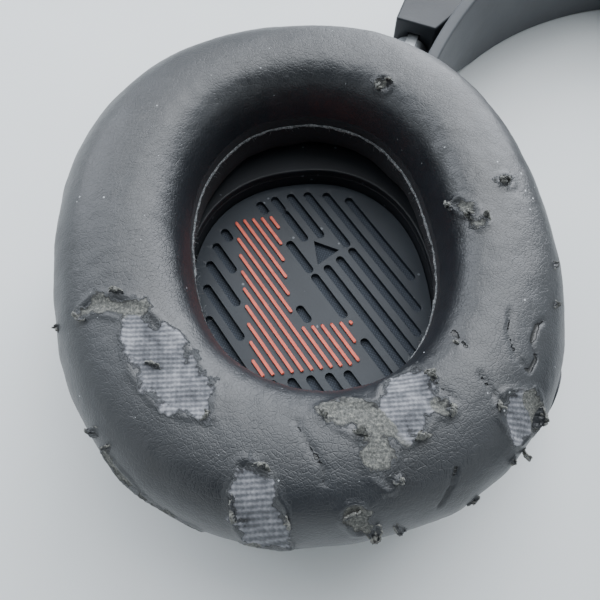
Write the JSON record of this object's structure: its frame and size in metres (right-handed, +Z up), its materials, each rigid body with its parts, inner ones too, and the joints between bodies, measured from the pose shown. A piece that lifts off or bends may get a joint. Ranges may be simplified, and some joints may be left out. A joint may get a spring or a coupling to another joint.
{
  "type": "gaming headset",
  "caption": "Over-ear wireless gaming headset folded flat, with worn ring cushions, swivelling cups, size sliders and a fold-away boom microphone.",
  "frame": {"origin": "centre of the bounding box, on the table that the folded headset lies on", "axes": "+X from the left cup to the right cup, +Y from the cups to the headband's top, +Z up out of the cushions"},
  "size_m": [0.2816, 0.205, 0.0504],
  "materials": {
    "shell_plastic": "fine matt texture",
    "cover_plastic": "satin",
    "liner_plastic": "smooth satin",
    "trim_red": "gloss",
    "baffle_plastic": "matt",
    "grille_plastic": "satin, slotted",
    "acoustic_cloth": "fine woven",
    "mark_coral": "printed raised bars",
    "spring_steel": "bare",
    "pin_steel": "ground",
    "screw_steel": "black zinc",
    "slider_aluminium": "satin",
    "worn_leatherette": "peeling coated fabric",
    "pad_leatherette": "soft coated fabric",
    "driver_plastic": "matt",
    "magnet": "nickel plated",
    "diaphragm_film": "thin film",
    "board_green": "solder mask",
    "battery_wrap": "plastic wrap",
    "port_metal": "nickel plated",
    "socket_plastic": "moulded",
    "control_rubber": "soft touch",
    "foam": "open-cell foam"
  },
  "bodies": {
    "headband": {"band_outer_shell": "shell_plastic", "band_spring_strip": "spring_steel", "band_inner_liner": "liner_plastic", "head_pad": "pad_leatherette", "left_slider_housing": "shell_plastic", "right_slider_housing": "shell_plastic", "band_screws": "screw_steel"},
    "left_slider": {"left_slider_bar": "slider_aluminium", "left_swivel_pin": "pin_steel"},
    "right_slider": {"right_slider_bar": "slider_aluminium", "right_swivel_pin": "pin_steel"},
    "left_fork": {"left_yoke": "shell_plastic", "left_tilt_pins": "pin_steel"},
    "right_fork": {"right_yoke": "shell_plastic", "right_tilt_pins": "pin_steel"},
    "left_cup": {"left_cup_shell": "shell_plastic", "left_outer_cover": "cover_plastic", "left_trim_ring": "trim_red", "left_baffle": "baffle_plastic", "left_acoustic_cloth": "acoustic_cloth", "left_grille_plate": "grille_plastic", "left_side_mark": "mark_coral", "left_driver_frame": "driver_plastic", "left_driver_magnet": "magnet", "left_diaphragm": "diaphragm_film", "left_cushion_plate": "baffle_plastic", "left_ear_cushion": "worn_leatherette", "left_cup_screws": "screw_steel", "main_circuit_board": "board_green", "usb_port": "port_metal", "audio_socket": "socket_plastic", "wheel_shafts": "pin_steel"},
    "right_cup": {"right_cup_shell": "shell_plastic", "right_outer_cover": "cover_plastic", "right_trim_ring": "trim_red", "right_baffle": "baffle_plastic", "right_acoustic_cloth": "acoustic_cloth", "right_grille_plate": "grille_plastic", "right_side_mark": "mark_coral", "right_driver_frame": "driver_plastic", "right_driver_magnet": "magnet", "right_diaphragm": "diaphragm_film", "right_cushion_plate": "baffle_plastic", "right_ear_cushion": "worn_leatherette", "right_cup_screws": "screw_steel", "radio_circuit_board": "board_green", "battery": "battery_wrap"},
    "volume": {"volume_wheel": "control_rubber"},
    "balance": {"balance_wheel": "control_rubber"},
    "mute": {"mute_button": "control_rubber"},
    "power": {"power_switch": "control_rubber"},
    "pairing": {"pairing_button": "control_rubber"},
    "boom": {"mic_hub": "shell_plastic", "mic_boom": "cover_plastic", "mic_capsule": "pin_steel", "mic_foam": "foam", "mic_hub_screw": "screw_steel"}
  },
  "joints": [
    {"name": "left_size_slide", "type": "slide", "parent": "headband", "child": "left_slider", "axis": [0, -1, 0], "range_m": [0, 0.018]},
    {"name": "left_swivel", "type": "hinge", "parent": "left_slider", "child": "left_fork", "pos_m": [-0.086, 0.01098, 0.015], "axis": [0, 1, 0], "range_deg": [0, 95]},
    {"name": "left_tilt", "type": "hinge", "parent": "left_fork", "child": "left_cup", "pos_m": [-0.086, -0.04902, 0.015], "axis": [1, 0, 0], "range_deg": [-10, 10]},
    {"name": "right_size_slide", "type": "slide", "parent": "headband", "child": "right_slider", "axis": [0, -1, 0], "range_m": [0, 0.018]},
    {"name": "right_swivel", "type": "hinge", "parent": "right_slider", "child": "right_fork", "pos_m": [0.086, 0.01098, 0.015], "axis": [0, -1, 0], "range_deg": [0, 95]},
    {"name": "right_tilt", "type": "hinge", "parent": "right_fork", "child": "right_cup", "pos_m": [0.086, -0.04902, 0.015], "axis": [1, 0, 0], "range_deg": [-10, 10]},
    {"name": "volume_turn", "type": "hinge", "parent": "left_cup", "child": "volume", "pos_m": [-0.11386, -0.07472, 0.0167], "axis": [0, 0, 1], "range_deg": [-135, 135]},
    {"name": "balance_turn", "type": "hinge", "parent": "left_cup", "child": "balance", "pos_m": [-0.10543, -0.08406, 0.0167], "axis": [0, 0, 1], "range_deg": [-135, 135]},
    {"name": "mute_press", "type": "slide", "parent": "left_cup", "child": "mute", "axis": [0.9168, 0.3994, 0], "range_m": [0, 0.0008], "stiffness_N_per_m": 1500, "springref_m": -0.0002},
    {"name": "pairing_press", "type": "slide", "parent": "right_cup", "child": "pairing", "axis": [-0.9168, 0.3994, 0], "range_m": [0, 0.0008], "stiffness_N_per_m": 1500, "springref_m": -0.0002},
    {"name": "power_slide", "type": "slide", "parent": "right_cup", "child": "power", "axis": [0, 0, 1], "range_m": [0, 0.003]},
    {"name": "boom_swing", "type": "hinge", "parent": "left_cup", "child": "boom", "pos_m": [-0.07518, -0.09091, 0.005], "axis": [0, 0, -1], "range_deg": [0, 100]}
  ]
}
